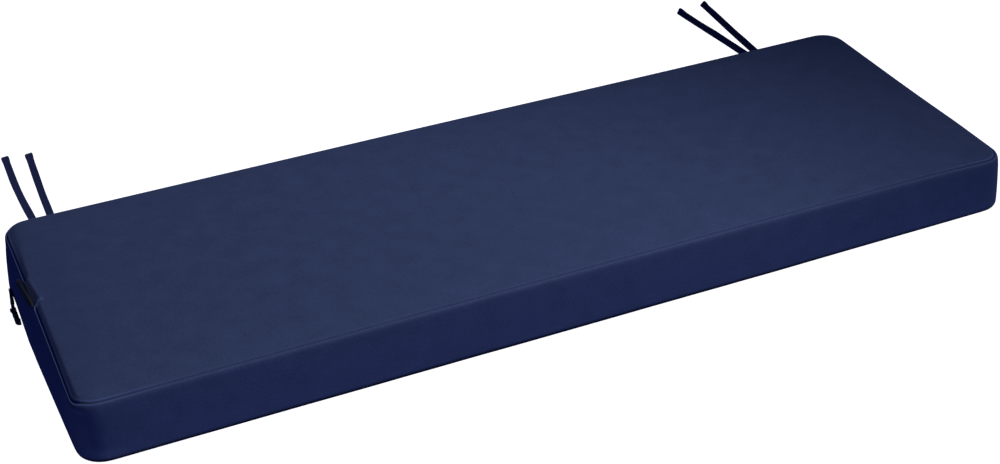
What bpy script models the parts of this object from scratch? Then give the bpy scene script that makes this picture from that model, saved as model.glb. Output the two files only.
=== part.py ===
"""Boxed bench cushion with four tie tails, a webbing handle and a buckled strap.

Metres, +Z up. X runs along the length, the front is at -Y, and the origin is
the middle of the flat underside. The sizes below are in millimetres.
"""
import math

import bmesh
import bpy
from mathutils import Vector

MM = 0.001

# Cushion: the outline is the widest line of the side band.
LENGTH = 1219.0
WIDTH = 432.0
CORNER = 32.0                # plan radius of the corners
CROWN = 3.3                  # rise of the filled top above its edge roll
CROWN_RINGS = 6
DRAWN_LONG = 1.5             # how far the cover pulls the long sides in
DRAWN_SHORT = 1.0            # and the short ones
LONG_STEPS = 24
SHORT_STEPS = 28
CORNER_STEPS = 7

# The sewn cover from the underside up to the crown: inset from the outline
# and height. The two seams are narrow grooves between rounded shoulders.
SECTION = (
    # place             inset  height
    ("foot",            25.0,   0.0),
    ("under roll",      16.0,   0.2),
    ("sole edge",       11.0,   0.7),
    ("panel foot",       9.0,   1.5),
    ("lower seam",       7.2,   3.4),
    ("lower shoulder",   5.2,   1.1),
    ("lower edge",       1.9,   2.7),
    ("band foot",        0.8,   5.4),
    ("band low",         0.2,  20.0),
    ("band middle",      0.0,  41.0),
    ("band high",        0.3,  62.0),
    ("band head",        0.9,  71.5),
    ("upper edge",       1.6,  77.2),
    ("upper shoulder",   4.0,  80.6),
    ("upper seam",       6.3,  79.8),
    ("panel edge",       8.4,  82.3),
    ("roll foot",       10.6,  83.6),
    ("roll low",        13.0,  84.5),
    ("roll high",       27.0,  86.6),
)
BAND_TOP = 76.7              # height where the ends stop leaning
SEAM_FOOT = 73.0             # rings above this belong to the top seam and panel

# The cushion is uneven: its left foot stands out and its left seam is drawn down
# and out, the right end is skewed, the foot is lifted and the back right sags.
LEFT_LEAN = (
    # y       how far the foot stands out
    (-216.0,  0.2),
    (-175.0,  2.5),
    (-130.0,  4.5),
    (-40.0,   7.6),
    (8.0,     9.0),
    (55.0,    9.6),
    (148.0,   6.6),
    (216.0,   7.6),
)
FOOT_LIFT = (
    # x       rise of the foot's edge
    (-610.0,  0.4),
    (-380.0,  0.2),
    (-160.0,  0.0),
    (60.0,    0.0),
    (270.0,   0.8),
    (480.0,   2.5),
    (610.0,   3.9),
)
RIGHT_LEAN = 5.2             # at the front, fading to the back
RIGHT_SKEW = 6.0             # at the back, fading to the front
END_REACH = 250.0
SEAM_DRIFT = 2.6
DRIFT_REACH = 30.0
LEFT_DROP = 4.0
SHOULDER_DROP = 2.5          # of the left edge outside its seam
DROP_REACH = 11.5            # the drop has faded out this far from the outline
BACK_REACH = 9.0             # and this much further at the back
BACK_SAG = 3.0
CORNER_SAG = 2.0             # of the front right corner

# The slanting facet that the handle pulls into the panel, up to a crease in front.
DENT_FALL = 0.85             # its fall for each unit across
DENT_BACK = 80.0
DENT_EDGE = 12.3             # distance of its edge from the outline at y = 20
DENT_SLANT = 0.09            # and how that falls towards the back
DENT_TOP = 84.3              # height of its edge
CREASE = 16.0

# Handle: a loop of webbing folded double, its two ends sewn into the top seam.
HANDLE_THICK = 3.0
HANDLE = (
    # y     inner edge x, z    outer edge x, z (x from the left outline)
    (75.0,  -2.0, 80.8,         -4.5, 73.8),
    (69.0,  -1.6, 81.4,         -4.3, 73.6),
    (60.0,  -0.9, 81.8,         -3.8, 73.8),
    (50.0,  -0.2, 82.0,         -3.0, 74.2),
    (40.0,   0.6, 82.2,         -2.3, 74.8),
    (30.0,   1.5, 82.0,         -1.4, 75.4),
    (20.0,   2.5, 80.9,         -0.2, 75.8),
    (12.0,   3.3, 80.1,          1.3, 77.4),
)

# Side-release buckle, closed, on edge beside the foot of the left end.
BUCKLE_X = -623.6            # its outer face
BUCKLE_THICK = 5.8
BUCKLE_HIGH = 13.0
BUCKLE_FRONT = 99.0
SOCKET_LONG = 22.0
PLUG_LONG = 8.7
PLUG_THIN = 0.5              # the plug's base is this much thinner on each face
BUCKLE_BEVEL = 1.0
BUCKLE_LOW = 3.0             # clear of the surface the cushion lies on
PLUG_GAP = 0.3               # between the plug's base and the socket

# Strap: webbing on edge, from the buckle's two ends to its stitched ends.
WEB_WIDE = 10.0
WEB_THICK = 2.4              # folded double
STRAPS = {
    # route of the middle of the webbing (x, y)
    "strap_back": ((-620.4, 130.5), (-619.5, 139.0), (-619.1, 148.0),
                   (-617.8, 158.0), (-616.9, 171.0)),
    "strap_front": ((-620.7, 98.2), (-620.2, 96.9), (-619.0, 96.1),
                    (-616.5, 95.8)),
}

# Ties: flat tails simplified to round cords lying on the surface behind.
TIE_RADIUS = 3.0
TIE_POINTS = 20
TIE_LIFT = 0.2               # clear of the surface
TIES = {
    "tie_left_outer": ((-548.0, 215.9), (-549.0, 246.0), (-552.5, 300.0),
                       (-555.0, 349.0), (-557.6, 400.0), (-558.6, 450.0),
                       (-558.0, 495.0), (-557.0, 538.0)),
    "tie_left_inner": ((-536.0, 215.9), (-535.0, 246.0), (-532.5, 300.0),
                       (-530.6, 348.0), (-529.6, 400.0), (-528.2, 440.0),
                       (-526.2, 490.0), (-524.2, 532.0)),
    "tie_right_inner": ((545.0, 215.9), (544.6, 246.0), (542.2, 300.0),
                        (539.1, 345.0), (535.6, 390.0), (531.9, 431.0),
                        (527.8, 476.0), (523.9, 518.0)),
    "tie_right_outer": ((557.0, 215.9), (557.0, 246.0), (557.6, 300.0),
                        (559.2, 344.0), (562.0, 390.0), (565.2, 432.0),
                        (569.0, 478.0), (572.7, 527.0)),
}

NAVY = (0.022, 0.034, 0.088, 1.0)
TIE_NAVY = (0.014, 0.020, 0.055, 1.0)
BLACK = (0.012, 0.012, 0.013, 1.0)


def clear_scene():
    for item in list(bpy.data.objects):
        bpy.data.objects.remove(item, do_unlink=True)


def material(name, colour, roughness):
    made = bpy.data.materials.new(name)
    made.use_nodes = True
    shader = made.node_tree.nodes["Principled BSDF"]
    shader.inputs["Base Color"].default_value = colour
    shader.inputs["Roughness"].default_value = roughness
    shader.inputs["Metallic"].default_value = 0.0
    return made


def add_object(name, mesh, finish):
    made = bpy.data.objects.new(name, mesh)
    bpy.context.scene.collection.objects.link(made)
    mesh.materials.append(finish)
    return made


def add_mesh(name, bm, finish, smooth=True):
    bmesh.ops.recalc_face_normals(bm, faces=bm.faces)
    mesh = bpy.data.meshes.new(name)
    bm.to_mesh(mesh)
    bm.free()
    if smooth:
        mesh.shade_smooth()
        mesh.set_sharp_from_angle(angle=math.radians(40.0))
    return add_object(name, mesh, finish)


def add_loop(bm, points):
    """A closed loop of edges through points given in millimetres."""
    corners = [bm.verts.new(Vector(point) * MM) for point in points]
    return [bm.edges.new(pair) for pair in zip(corners, corners[1:] + corners[:1])]


def skin(bm, rings):
    """Closed body through rings of equal count, with both ends capped."""
    loops = [add_loop(bm, ring) for ring in rings]
    for low, high in zip(loops, loops[1:]):
        bmesh.ops.bridge_loops(bm, edges=low + high)
    for end in (loops[0], loops[-1]):
        bmesh.ops.contextual_create(bm, geom=end)


def held(value):
    """The value kept between 0 and 1."""
    return min(max(value, 0.0), 1.0)


def smooth_step(value):
    share = held(value)
    return share * share * (3.0 - 2.0 * share)


def side(start, end, normal, steps, drawn):
    """Points of one straight side, pulled in towards its middle."""
    for step in range(steps):
        share = step / steps
        pull = drawn * math.sin(math.pi * share)
        yield start.lerp(end, share) - normal * pull, normal


def corner(centre, first_angle):
    for step in range(CORNER_STEPS):
        angle = first_angle + math.pi / 2.0 * step / CORNER_STEPS
        normal = Vector((math.cos(angle), math.sin(angle)))
        yield centre + normal * CORNER, normal


def outline():
    """(point, outward normal) pairs round the plan, from the front left."""
    long_half = LENGTH / 2.0 - CORNER
    short_half = WIDTH / 2.0 - CORNER
    pairs = []
    for turn in range(4):
        angle = math.pi / 2.0 * (turn - 1)
        normal = Vector((round(math.cos(angle)), round(math.sin(angle))))
        along = Vector((-normal.y, normal.x))
        on_long = turn % 2 == 0
        half, out = (long_half, short_half) if on_long else (short_half, long_half)
        middle = normal * (out + CORNER)
        steps = LONG_STEPS if on_long else SHORT_STEPS
        drawn = DRAWN_LONG if on_long else DRAWN_SHORT
        pairs += side(middle - along * half, middle + along * half, normal, steps, drawn)
        pairs += corner(normal * out + along * half, angle)
    return pairs


def between(table, place):
    """Value at a place in a table of (place, value) rows."""
    for (low, first), (high, second) in zip(table, table[1:]):
        if place <= high:
            share = max((place - low) / (high - low), 0.0)
            return first + (second - first) * share
    return table[-1][1]


def end_shift(x, y, z):
    """How far the two ends move a point along X."""
    from_left = x + LENGTH / 2.0
    from_right = LENGTH / 2.0 - x
    foot = held(1.0 - z / BAND_TOP)
    near_left = held(1.0 - from_left / END_REACH) ** 2
    near_right = held(1.0 - from_right / END_REACH) ** 2
    shift = -near_left * foot * between(LEFT_LEAN, y)
    if z > SEAM_FOOT:
        squeeze = held(from_left / 6.2) * smooth_step(1.0 - (from_left - 4.0) / DRIFT_REACH)
        shift -= SEAM_DRIFT * squeeze
    shift += near_right * foot * RIGHT_LEAN * (1.0 - smooth_step((y + 150.0) / 200.0))
    return shift + near_right * RIGHT_SKEW * smooth_step((y + 90.0) / 300.0)


def dented(from_left, y, z):
    """Height once the handle has drawn a slanting facet into the panel beside it."""
    edge = DENT_EDGE - DENT_SLANT * (y - 20.0)
    crease = CREASE - 8.0 * held((12.0 - from_left) / 10.0) ** 2
    share = smooth_step((y - crease) / 2.5) * smooth_step((DENT_BACK - y) / 16.0)
    share *= held((from_left - 1.2) / 1.5) * held((60.0 - from_left) / 20.0)
    facet = DENT_TOP - DENT_FALL * (edge - from_left)
    if from_left > edge:
        facet = max(z, DENT_TOP)
    return z + share * (facet - z)


def uneven(x, y, z, inset):
    """Moves a point of the even cushion to its place on the uneven one."""
    moved = x + end_shift(x, y, z)
    from_left = moved + LENGTH / 2.0
    reach = DROP_REACH - 4.5 + BACK_REACH * smooth_step((y - 90.0) / 110.0)
    drop = LEFT_DROP * (1.0 - smooth_step((from_left - 4.5) / reach))
    drop += BACK_SAG * smooth_step((x + 150.0) / 600.0) * smooth_step((y + 100.0) / 300.0)
    drop += CORNER_SAG * smooth_step((x - 480.0) / 120.0) * smooth_step((-90.0 - y) / 110.0)
    drop += SHOULDER_DROP * held((3.6 - from_left) / 3.6)
    lowered = z - drop * held((z - 50.0) / 27.0)
    if z > SEAM_FOOT:
        lowered = dented(from_left, y, lowered)
    lift = between(FOOT_LIFT, x) * held((200.0 - y) / 150.0)
    lift *= held((25.0 - inset) / 14.0) * held(1.0 - z / 40.0)
    return moved, y, lowered + lift


def cushion(finish):
    pairs = outline()
    rings = []
    for _place, inset, height in SECTION:
        ring = [point - normal * inset for point, normal in pairs]
        rings.append([uneven(p.x, p.y, height, inset) for p in ring])
    spine = (LENGTH - WIDTH) / 2.0
    _place, inset, height = SECTION[-1]
    edge = [point - normal * inset for point, normal in pairs]
    for step in range(1, CROWN_RINGS + 1):
        share = 1.0 - step / (CROWN_RINGS + 1)
        rise = height + CROWN * (1.0 - share * share)
        ring = []
        for point in edge:
            middle = min(max(point.x, -spine), spine)
            x = middle + (point.x - middle) * share
            ring.append(uneven(x, point.y * share, rise, inset))
        rings.append(ring)
    bm = bmesh.new()
    skin(bm, rings)
    return add_mesh("cushion", bm, finish)


def strip(name, stations, thick, finish):
    """Flat strip through (inner edge, outer edge) pairs of points."""
    rings = []
    for index, (inner, outer) in enumerate(stations):
        before = stations[max(index - 1, 0)]
        after = stations[min(index + 1, len(stations) - 1)]
        along = Vector(after[0]) + Vector(after[1]) - Vector(before[0]) - Vector(before[1])
        across = Vector(outer) - Vector(inner)
        lift = along.cross(across).normalized() * (thick / 2.0)
        a, b = Vector(inner), Vector(outer)
        rings.append([a - lift, b - lift, b + lift, a + lift])
    bm = bmesh.new()
    skin(bm, rings)
    return add_mesh(name, bm, finish, smooth=False)


def carry_handle(finish):
    left = -LENGTH / 2.0
    stations = []
    for y, inner_x, inner_z, outer_x, outer_z in HANDLE:
        stations.append(((left + inner_x, y, inner_z), (left + outer_x, y, outer_z)))
    return strip("carry_handle", stations, HANDLE_THICK, finish)


def strap(name, route, finish):
    """Webbing on edge along (x, y) points, its width upright."""
    low = BUCKLE_LOW + (BUCKLE_HIGH - WEB_WIDE) / 2.0
    stations = [((x, y, low), (x, y, low + WEB_WIDE)) for x, y in route]
    return strip(name, stations, WEB_THICK, finish)


def buckle_block(name, front, back, thin, finish):
    """Rounded block of the buckle between two places along the strap."""
    bm = bmesh.new()
    bmesh.ops.create_cube(bm, size=1.0)
    size = Vector((BUCKLE_THICK - 2.0 * thin, back - front, BUCKLE_HIGH)) * MM
    middle = Vector((BUCKLE_X + BUCKLE_THICK / 2.0, (front + back) / 2.0,
                     BUCKLE_LOW + BUCKLE_HIGH / 2.0)) * MM
    bmesh.ops.scale(bm, vec=size, verts=bm.verts)
    bmesh.ops.translate(bm, vec=middle, verts=bm.verts)
    bmesh.ops.bevel(bm, geom=bm.edges[:], offset=BUCKLE_BEVEL * MM, segments=2,
                    profile=0.5, affect="EDGES", material=-1)
    return add_mesh(name, bm, finish)


def smooth_route(points, count):
    """count points on a Catmull-Rom curve through the route's own points."""
    ends = [points[0]] + list(points) + [points[-1]]
    made = []
    for index in range(count):
        place = index * (len(points) - 1) / (count - 1)
        leg = min(int(place), len(points) - 2)
        share = place - leg
        a, b, c, d = (Vector(point) for point in ends[leg:leg + 4])
        made.append(0.5 * (2.0 * b + (c - a) * share
                           + (2.0 * a - 5.0 * b + 4.0 * c - d) * share ** 2
                           + (3.0 * b - a - 3.0 * c + d) * share ** 3))
    return made


def tie(name, route, finish):
    curve = bpy.data.curves.new(name, "CURVE")
    curve.dimensions = "3D"
    curve.bevel_depth = TIE_RADIUS * MM
    curve.bevel_resolution = 2
    curve.use_fill_caps = True
    spline = curve.splines.new("POLY")
    spline.points.add(TIE_POINTS - 1)
    height = TIE_RADIUS + TIE_LIFT
    for target, place in zip(spline.points, smooth_route(route, TIE_POINTS)):
        target.co = (place.x * MM, place.y * MM, height * MM, 1.0)
    return add_object(name, curve, finish)


def main():
    clear_scene()
    cushion(material("cover_fabric", NAVY, 0.85))
    carry_handle(material("handle_webbing", BLACK, 0.6))
    for name, route in TIES.items():
        tie(name, route, material(name + "_fabric", TIE_NAVY, 0.85))
    for name, route in STRAPS.items():
        strap(name, route, material(name + "_webbing", BLACK, 0.6))
    mouth = BUCKLE_FRONT + SOCKET_LONG
    buckle_block("buckle_socket", BUCKLE_FRONT, mouth, 0.0,
                 material("socket_plastic", BLACK, 0.4))
    buckle_block("buckle_plug", mouth + PLUG_GAP, mouth + PLUG_GAP + PLUG_LONG, PLUG_THIN,
                 material("plug_plastic", BLACK, 0.4))


main()
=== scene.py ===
"""Looks of a boxed bench cushion: filled cover, tie tails, webbing and buckle.

The file is laid out as an add-on and is run as a script. Metres, +Z up, in the
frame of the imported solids: X along the length, the front at -Y, and the origin
in the middle of the flat underside. Tables below are in millimetres.
"""
import math

import bmesh
import bpy
from mathutils import Matrix, Vector, noise


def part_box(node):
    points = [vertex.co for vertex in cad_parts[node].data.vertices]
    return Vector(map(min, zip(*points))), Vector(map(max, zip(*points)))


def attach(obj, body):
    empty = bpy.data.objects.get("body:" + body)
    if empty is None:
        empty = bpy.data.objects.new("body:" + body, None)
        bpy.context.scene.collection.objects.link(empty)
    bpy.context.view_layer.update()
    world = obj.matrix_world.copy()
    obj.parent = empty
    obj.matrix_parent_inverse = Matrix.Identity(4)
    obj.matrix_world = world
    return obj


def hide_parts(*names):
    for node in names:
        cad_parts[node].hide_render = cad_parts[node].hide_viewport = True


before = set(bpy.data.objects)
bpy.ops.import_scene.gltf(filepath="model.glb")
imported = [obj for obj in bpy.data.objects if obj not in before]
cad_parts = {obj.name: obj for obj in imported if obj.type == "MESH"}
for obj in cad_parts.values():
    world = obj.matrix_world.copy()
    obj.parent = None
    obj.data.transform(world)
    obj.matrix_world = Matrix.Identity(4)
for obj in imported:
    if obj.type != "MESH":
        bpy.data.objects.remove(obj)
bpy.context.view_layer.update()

bl_info = {
    "name": "Bench Cushion Looks",
    "version": (1, 0, 0),
    "blender": (4, 5, 0),
    "location": "3D Viewport > Sidebar > Cushion",
    "description": "Sewn cover, tie tails, webbing and buckle of a boxed bench cushion",
    "category": "Object",
}

MM = 0.001
BODY = "root"

# Outline of the cover at its widest line, and how finely it is divided.
LENGTH = 1219.0
WIDTH = 432.0
CORNER = 32.0
LONG_STEPS = 92
CORNER_STEPS = 6
DRAWN_LONG = 1.5
DRAWN_SHORT = 1.0

# Stations along a short side, closer together where the handle dents the panel.
SHORT_STATIONS = (
    # (from, to, steps) in y
    (-184.0, -16.0, 17),
    (-16.0, 92.0, 27),
    (92.0, 184.0, 9),
)

# The sewn cover from the underside to the top panel.
# Its seam column is painted light: above 0 a painted highlight on the seam lips, below 0 painted
# shade in the grooves and along the bottom edge.
SECTION = (
    # inset height  pin   seam
    (32.0,   0.0,  1.0,  0.0),
    (24.0,   0.0,  1.0,  0.0),
    (16.0,   0.2,  1.0,  0.0),
    (11.0,   0.7,  1.0,  0.1),
    (9.0,    1.5,  1.0,  0.8),
    (7.9,    2.9,  1.0,  0.2),
    (7.2,    3.6,  1.0, -1.0),
    (6.5,    2.6,  1.0,  0.2),
    (5.2,    1.0,  1.0,  0.0),
    (3.5,    1.3,  1.0, -1.0),
    (1.9,    2.7,  1.0, -1.0),
    (0.8,    5.4,  0.9, -0.9),
    (0.5,    7.6,  0.6,  0.0),
    (0.1,   24.0,  0.0,  0.0),
    (0.0,   42.0,  0.0,  0.0),
    (0.1,   52.0,  0.0,  0.0),
    (0.3,   62.0,  0.0,  0.0),
    (0.7,   70.0,  0.4,  0.0),
    (1.1,   74.6,  0.9,  0.0),
    (1.7,   77.6,  1.0,  0.0),
    (2.7,   79.7,  1.0,  0.1),
    (4.0,   80.6,  1.0,  0.9),
    (4.8,   80.6,  1.0,  0.6),
    (5.5,   79.7,  1.0, -0.2),
    (6.2,   78.7,  1.0, -0.4),
    (6.8,   79.9,  1.0, -0.2),
    (7.3,   81.7,  1.0,  0.6),
    (8.1,   82.6,  1.0,  0.9),
    (9.4,   82.9,  0.9,  0.1),
    (10.6,  83.6,  0.7,  0.0),
    (11.8,  84.1,  0.5,  0.0),
    (13.0,  84.5,  0.4,  0.0),
    (14.4,  84.8,  0.3,  0.0),
    (16.4,  85.2,  0.1,  0.0),
    (19.2,  85.6,  0.0,  0.0),
    (23.4,  86.1,  0.0,  0.0),
    (27.8,  86.5,  0.0,  0.0),
    (32.0,  86.8,  0.0,  0.0),
)
LOWER_GROOVE = 6             # the rings at the bottom of the two seams
UPPER_GROOVE = 24

# The cushion is uneven: its left foot stands out and its left seam is drawn down
# and out, the right end is skewed, the foot is lifted and the back right sags.
BAND_TOP = 76.7
SEAM_FOOT = 73.0             # points above this go with the top seam and panel
LEFT_LEAN = (
    # y       how far the foot stands out
    (-216.0,  0.2),
    (-175.0,  2.5),
    (-130.0,  4.5),
    (-40.0,   7.6),
    (8.0,     9.0),
    (55.0,    9.6),
    (148.0,   6.6),
    (216.0,   7.6),
)
FOOT_LIFT = (
    # x       rise of the foot's edge
    (-610.0,  0.4),
    (-380.0,  0.2),
    (-160.0,  0.0),
    (60.0,    0.0),
    (270.0,   0.8),
    (480.0,   2.5),
    (610.0,   3.9),
)
RIGHT_LEAN = 5.2             # at the front, fading to the back
RIGHT_SKEW = 6.0             # at the back, fading to the front
END_REACH = 250.0
SEAM_DRIFT = 2.6
DRIFT_REACH = 30.0
LEFT_DROP = 3.5
SHOULDER_DROP = 2.5          # of the left edge outside its seam
DROP_REACH = 11.5            # the drop has faded out this far from the outline
BACK_REACH = 9.0             # and this much further at the back
BACK_SAG = 3.0
CORNER_SAG = 2.0             # of the front right corner

# The slanting facet that the handle pulls into the panel, up to a crease in front.
DENT_BACK = 80.0
DENT_EDGE = 12.3             # distance of its edge from the outline at y = 20
DENT_SLANT = 0.09            # and how that falls towards the back
DENT_TOP = 84.3              # height of its edge
CREASE = 16.0
CREASE_FOOT = 80.4           # height of the crease at the outline, and its rise across
CREASE_RISE = 0.37

# Routes of the tie tails on the surface behind the cushion, seam end first (x, y).
TIE_ROUTES = {
    "tie_left_outer": ((-548.0, 215.9), (-549.0, 246.0), (-552.5, 300.0),
                       (-555.0, 349.0), (-557.6, 400.0), (-558.6, 450.0),
                       (-558.0, 495.0), (-557.0, 538.0)),
    "tie_left_inner": ((-536.0, 215.9), (-535.0, 246.0), (-532.5, 300.0),
                       (-530.6, 348.0), (-529.6, 400.0), (-528.2, 440.0),
                       (-526.2, 490.0), (-524.2, 532.0)),
    "tie_right_inner": ((545.0, 215.9), (544.6, 246.0), (542.2, 300.0),
                        (539.1, 345.0), (535.6, 390.0), (531.9, 431.0),
                        (527.8, 476.0), (523.9, 518.0)),
    "tie_right_outer": ((557.0, 215.9), (557.0, 246.0), (557.6, 300.0),
                        (559.2, 344.0), (562.0, 390.0), (565.2, 432.0),
                        (569.0, 478.0), (572.7, 527.0)),
}
TIE_STATIONS = 72
TIE_CENTRE = 3.2             # height of the routes
TIE_TUCK = 4.0               # length of a tie inside the seam
TIE_ROLLS = (6.0, 6.0, 58.0, 44.0)  # degrees that each tie is rolled over on its edge

HANDLE = (
    # y     upper edge x, z    lower edge x, z (x from the left outline)
    (75.0,  -2.0, 80.8,         -4.5, 73.8),
    (69.0,  -1.6, 81.4,         -4.3, 73.6),
    (60.0,  -0.9, 81.8,         -3.8, 73.8),
    (50.0,  -0.2, 82.0,         -3.0, 74.2),
    (40.0,   0.6, 82.2,         -2.3, 74.8),
    (30.0,   1.5, 82.0,         -1.4, 75.4),
    (20.0,   2.5, 80.9,         -0.2, 75.8),
    (12.0,   3.3, 80.1,          1.3, 77.4),
)
STRAPS = {
    # middle of the webbing (x, y): in to the buckle, round its bar and back
    "strap_back": ((-617.5, 171.0), (-618.4, 158.0), (-619.7, 148.0), (-620.1, 139.0),
                   (-620.9, 133.0), (-621.6, 129.4), (-620.7, 127.4), (-619.4, 129.2),
                   (-618.7, 133.0), (-617.9, 139.0), (-617.4, 148.0), (-616.5, 158.0),
                   (-616.3, 171.0)),
    "strap_front": ((-617.0, 95.3), (-619.6, 95.6), (-621.7, 97.2), (-622.3, 100.2),
                    (-620.7, 101.6), (-619.3, 100.2), (-619.2, 98.0), (-618.0, 96.8)),
}
STRAP_TILT = 1.1             # its lower edge stands out and its upper edge in by this

# Closed side-release buckle on edge: plates of each half with their outlines over
# the middle line (y, height), faces across X, and a z range where they are strips.
BUCKLE_MIDDLE = 9.5
SHELL = ((99.6, 5.2), (107.5, 5.4), (108.8, 3.9), (114.7, 3.9), (116.3, 6.0),
         (119.8, 6.5), (121.0, 5.6))
BUCKLE_PLATES = {
    "buckle_socket": (
        # outline (y, height)              x low   x high   z low  z high
        (SHELL,                            -623.6,   -622.1,   0.0,   0.0),
        (SHELL,                            -619.3,   -617.8,   0.0,   0.0),
        (((104.2, 4.9), (107.6, 4.6)),      -622.4,   -619.0,   0.0,   0.0),
        (((116.4, 0.0), (120.3, 0.0)),     -622.6,   -618.8,  13.8,  15.5),
        (((116.4, 0.0), (120.3, 0.0)),     -622.6,   -618.8,   3.5,   5.2),
        (((99.2, 0.0), (104.9, 0.0)),       -622.8,   -618.6,  14.1,  15.3),
        (((99.2, 0.0), (104.9, 0.0)),       -622.8,   -618.6,   3.7,   4.9),
        (((99.2, 0.0), (100.7, 0.0)),       -622.1,   -619.3,   4.2,  14.8),
        (((115.8, 0.0), (120.6, 0.0)),     -624.5,   -623.5,  10.6,  15.0),
        (((114.9, 0.0), (116.5, 0.0)),     -624.3,   -622.7,  10.6,  15.0),
        (((119.8, 0.0), (121.2, 0.0)),     -625.3,   -623.6,  10.0,  15.6),
    ),
    "buckle_plug": (
        (((121.4, 6.3), (124.5, 6.3)),     -623.0,   -618.4,   0.0,   0.0),
        (((123.6, 0.0), (129.9, 0.0)),     -622.4,   -619.0,  14.6,  15.8),
        (((123.6, 0.0), (129.9, 0.0)),     -622.4,   -619.0,   3.2,   4.4),
        (((128.3, 0.0), (129.9, 0.0)),     -622.1,   -619.3,   3.6,  15.4),
        (((109.0, 0.0), (114.7, 0.0)),     -621.9,   -619.5,  12.8,  15.9),
        (((109.0, 0.0), (114.7, 0.0)),     -621.9,   -619.5,   3.1,   6.2),
        (((115.9, 0.0), (121.9, 0.0)),     -621.9,   -619.5,   8.2,  10.8),
    ),
}


class CoverSettings(bpy.types.PropertyGroup):
    """Sizes and colours of the filled cover"""

    crown: bpy.props.FloatProperty(
        name="Crown", description="Rise of the filled top above its edge roll",
        default=2.4 * MM, min=0.0, subtype="DISTANCE", unit="LENGTH", precision=4)
    swell: bpy.props.FloatProperty(
        name="Swell", description="Most that the filling may push the cloth out",
        default=1.6 * MM, min=0.0, subtype="DISTANCE", unit="LENGTH", precision=4)
    dent: bpy.props.FloatProperty(
        name="Dent", description="Fall of the dent beside the handle for each unit across",
        default=1.0, min=0.0, max=2.0)
    colour: bpy.props.FloatVectorProperty(
        name="Fabric", description="Colour of the cover's yarn",
        default=(0.0285, 0.043, 0.104), min=0.0, max=1.0, subtype="COLOR")
    pitch: bpy.props.FloatProperty(
        name="Yarn pitch", description="Distance between neighbouring yarns",
        default=0.75 * MM, min=0.0001, subtype="DISTANCE", unit="LENGTH", precision=5)


class TieSettings(bpy.types.PropertyGroup):
    """Sizes and colours of the tie tails"""

    width: bpy.props.FloatProperty(
        name="Width", description="Width of a folded and stitched tie",
        default=10.5 * MM, min=0.001, subtype="DISTANCE", unit="LENGTH", precision=4)
    thickness: bpy.props.FloatProperty(
        name="Thickness", description="Thickness of a tie's four layers",
        default=2.3 * MM, min=0.0005, subtype="DISTANCE", unit="LENGTH", precision=4)
    colour: bpy.props.FloatVectorProperty(
        name="Fabric", description="Colour of the ties' yarn",
        default=(0.011, 0.017, 0.060), min=0.0, max=1.0, subtype="COLOR")


class WebbingSettings(bpy.types.PropertyGroup):
    """Sizes and colours of the handle and the strap"""

    colour: bpy.props.FloatVectorProperty(
        name="Webbing", description="Colour of the webbing's yarn",
        default=(0.015, 0.015, 0.008), min=0.0, max=1.0, subtype="COLOR")
    strap_thickness: bpy.props.FloatProperty(
        name="Strap thickness", description="Thickness of the buckled strap",
        default=1.2 * MM, min=0.0003, subtype="DISTANCE", unit="LENGTH", precision=4)
    handle_thickness: bpy.props.FloatProperty(
        name="Handle thickness", description="Thickness of the doubled webbing",
        default=3.0 * MM, min=0.0005, subtype="DISTANCE", unit="LENGTH", precision=4)


class BuckleSettings(bpy.types.PropertyGroup):
    """Sizes and colours of the side-release buckle"""

    colour: bpy.props.FloatVectorProperty(
        name="Plastic", description="Colour of the moulded plastic",
        default=(0.006, 0.006, 0.0065), min=0.0, max=1.0, subtype="COLOR")
    rounding: bpy.props.FloatProperty(
        name="Rounding", description="Radius of the moulded edges",
        default=0.5 * MM, min=0.0001, subtype="DISTANCE", unit="LENGTH", precision=5)


class StageSettings(bpy.types.PropertyGroup):
    """Camera and studio"""

    place: bpy.props.FloatVectorProperty(
        name="Camera", description="Place of the camera",
        default=(-0.768639, -1.824045, 1.243047), subtype="TRANSLATION", unit="LENGTH")
    lens: bpy.props.FloatProperty(
        name="Lens", description="Focal length on a 36 mm wide sensor",
        default=64.82, min=10.0, unit="CAMERA")
    floor_colour: bpy.props.FloatVectorProperty(
        name="Floor", description="Colour of the floor",
        default=(0.86, 0.86, 0.87), min=0.0, max=1.0, subtype="COLOR")
    bounce_colour: bpy.props.FloatVectorProperty(
        name="Bounce", description="Light that the floor throws back on the cushion",
        default=(0.036, 0.055, 0.25), min=0.0, max=1.0, subtype="COLOR")


class CushionSettings(bpy.types.PropertyGroup):
    """Everything that a user would change on the bench cushion"""

    cover: bpy.props.PointerProperty(type=CoverSettings)
    ties: bpy.props.PointerProperty(type=TieSettings)
    webbing: bpy.props.PointerProperty(type=WebbingSettings)
    buckle: bpy.props.PointerProperty(type=BuckleSettings)
    stage: bpy.props.PointerProperty(type=StageSettings)


# ---------------------------------------------------------------- shader groups

def link_chain(tree, *sockets):
    for source, target in zip(sockets[::2], sockets[1::2]):
        tree.links.new(source, target)


def math_node(tree, operation, first, second=None):
    node = tree.nodes.new("ShaderNodeMath")
    node.operation = operation
    for slot, value in zip(node.inputs, (first, second)):
        if value is None:
            continue
        if isinstance(value, (int, float)):
            slot.default_value = value
        else:
            tree.links.new(value, slot)
    return node.outputs[0]


def mix_colour(tree, share, first, second):
    node = tree.nodes.new("ShaderNodeMix")
    node.data_type = "RGBA"
    for slot, value in ((node.inputs[0], share), (node.inputs[6], first),
                        (node.inputs[7], second)):
        if isinstance(value, (int, float)):
            slot.default_value = value
        elif isinstance(value, tuple):
            slot.default_value = value
        else:
            tree.links.new(value, slot)
    return node.outputs[2]


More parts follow.
